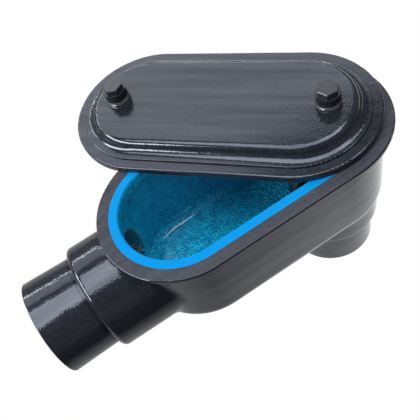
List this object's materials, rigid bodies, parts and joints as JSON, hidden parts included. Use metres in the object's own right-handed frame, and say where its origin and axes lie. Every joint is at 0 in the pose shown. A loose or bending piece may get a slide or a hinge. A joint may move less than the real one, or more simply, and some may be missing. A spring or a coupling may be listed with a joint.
{
  "type": "conduit body",
  "caption": "Jacketed cast-iron conduit body with an end hub and a back hub, its raised oval cover lying askew and loose across the open rim.",
  "frame": {"origin": "on the end hub's axis, where its thread begins, 0.8 mm inside the iron hub's outer face", "axes": "+X along the end hub's axis towards the back hub, +Z out of the cover opening, +Y across the body"},
  "size_m": [0.1258, 0.0888, 0.0796],
  "materials": {
    "lining": "rough cast iron under a glossy blue lining",
    "jacket": "dark grey soft moulded jacket with a fine grain",
    "cap": "dark moulded plastic",
    "steel": "plain machined steel",
    "seal": "dark glossy washer"
  },
  "bodies": {
    "body": {"body_casting": "lining", "body_jacket": "jacket", "cover": "jacket", "washer_left": "seal", "washer_right": "seal", "retainer_left": "steel", "retainer_right": "steel"},
    "screw_left": {"screw_left": "steel", "screw_cap_left": "cap"},
    "clamp_left": {"clamp_nut_left": "steel"},
    "screw_right": {"screw_right": "steel", "screw_cap_right": "cap"},
    "clamp_right": {"clamp_nut_right": "steel"}
  },
  "joints": [
    {"name": "screw_left_turn", "type": "hinge", "parent": "body", "child": "screw_left", "pos_m": [0.03884, 0.04498, 0.0256], "axis": [0, 0, 1], "continuous": true},
    {"name": "clamp_left_turn", "type": "hinge", "parent": "screw_left", "child": "clamp_left", "pos_m": [0.03884, 0.04498, 0.0125], "axis": [0, 0, 1], "range_deg": [-180, 180]},
    {"name": "screw_right_turn", "type": "hinge", "parent": "body", "child": "screw_right", "pos_m": [0.08816, -0.00298, 0.0256], "axis": [0, 0, 1], "continuous": true},
    {"name": "clamp_right_turn", "type": "hinge", "parent": "screw_right", "child": "clamp_right", "pos_m": [0.08816, -0.00298, 0.0125], "axis": [0, 0, 1], "range_deg": [-180, 180]}
  ]
}
